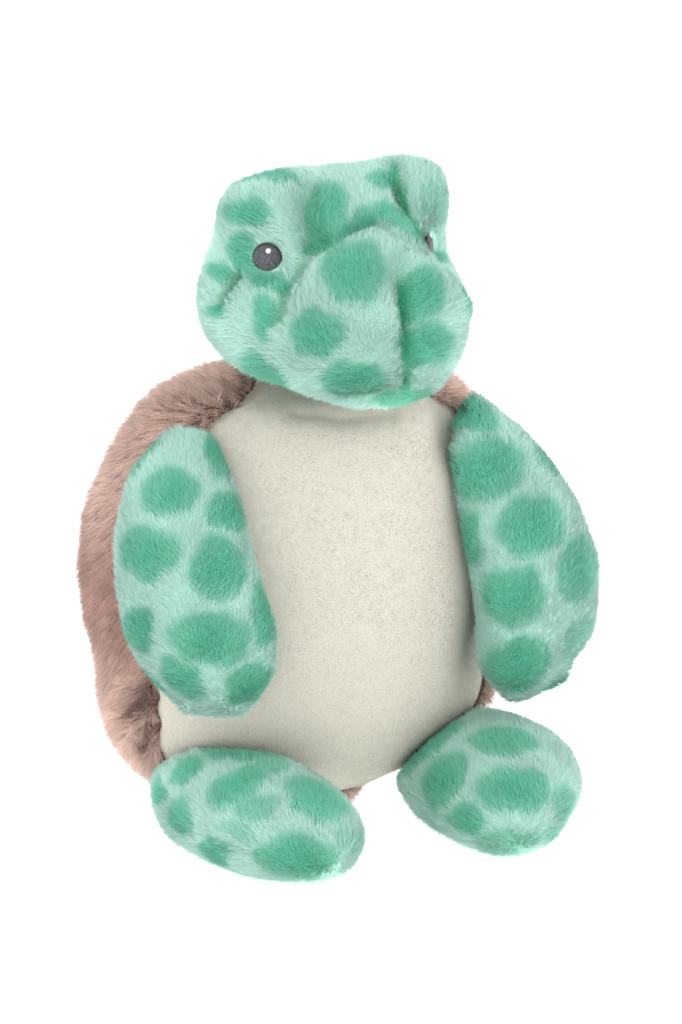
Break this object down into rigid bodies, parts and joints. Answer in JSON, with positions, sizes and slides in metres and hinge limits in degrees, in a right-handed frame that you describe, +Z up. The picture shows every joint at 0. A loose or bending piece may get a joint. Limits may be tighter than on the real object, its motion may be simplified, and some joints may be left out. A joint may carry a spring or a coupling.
{
  "type": "plush turtle",
  "caption": "Seated stuffed turtle with spotted fur, plush shell, cream belly, embroidered eyes, turning head and hinged flippers.",
  "frame": {"origin": "on the floor under the middle of the seat, where the base is pressed flat", "axes": "+Z up to the crown, the turtle faces -Y, and its left side is at +X"},
  "size_m": [0.1922, 0.1857, 0.2506],
  "materials": {
    "mint_plush": "mint plush with darker green printed spots, pile about 4 mm",
    "shell_plush": "taupe long-pile plush, pile about 8 mm",
    "belly_plush": "cream short-pile plush, pile about 2 mm",
    "fibre": "white polyester fibre filling",
    "beans": "plastic beans in a cloth bag",
    "grey_thread": "dark grey embroidery thread",
    "white_thread": "white embroidery thread"
  },
  "bodies": {
    "torso": {"belly_panel": "belly_plush", "shell_left_panel": "shell_plush", "shell_right_panel": "shell_plush", "base_panel": "shell_plush", "bean_bag": "beans", "body_stuffing": "fibre"},
    "neck": {"neck_seam_ring": "mint_plush"},
    "head": {"head_left_panel": "mint_plush", "head_right_panel": "mint_plush", "muzzle_left_panel": "mint_plush", "muzzle_right_panel": "mint_plush", "chin_panel": "mint_plush", "head_stuffing": "fibre", "eye_left": "grey_thread", "eye_right": "grey_thread", "eye_glint_left": "white_thread", "eye_glint_right": "white_thread"},
    "right_arm": {"right_arm_outer_panel": "mint_plush", "right_arm_inner_panel": "mint_plush", "right_arm_stuffing": "fibre"},
    "left_arm": {"left_arm_outer_panel": "mint_plush", "left_arm_inner_panel": "mint_plush", "left_arm_stuffing": "fibre"},
    "right_leg": {"right_leg_upper_panel": "mint_plush", "right_leg_sole_panel": "mint_plush", "right_leg_stuffing": "fibre"},
    "left_leg": {"left_leg_upper_panel": "mint_plush", "left_leg_sole_panel": "mint_plush", "left_leg_stuffing": "fibre"}
  },
  "joints": [
    {"name": "head_turn", "type": "hinge", "parent": "torso", "child": "neck", "pos_m": [0, -0.02, 0.155], "axis": [0, 0, 1], "range_deg": [-30, 30]},
    {"name": "head_nod", "type": "hinge", "parent": "neck", "child": "head", "pos_m": [0, -0.02, 0.155], "axis": [1, 0, 0], "range_deg": [-6, 8]},
    {"name": "right_arm_lift", "type": "hinge", "parent": "torso", "child": "right_arm", "pos_m": [-0.05, -0.028, 0.162], "axis": [0, 1, 0], "range_deg": [0, 60]},
    {"name": "left_arm_lift", "type": "hinge", "parent": "torso", "child": "left_arm", "pos_m": [0.05, -0.028, 0.162], "axis": [0, -1, 0], "range_deg": [0, 60]},
    {"name": "right_leg_splay", "type": "hinge", "parent": "torso", "child": "right_leg", "pos_m": [-0.06, -0.01, 0], "axis": [0, 0, -1], "range_deg": [0, 25]},
    {"name": "left_leg_splay", "type": "hinge", "parent": "torso", "child": "left_leg", "pos_m": [0.072, -0.01, 0], "axis": [0, 0, 1], "range_deg": [0, 25]}
  ]
}
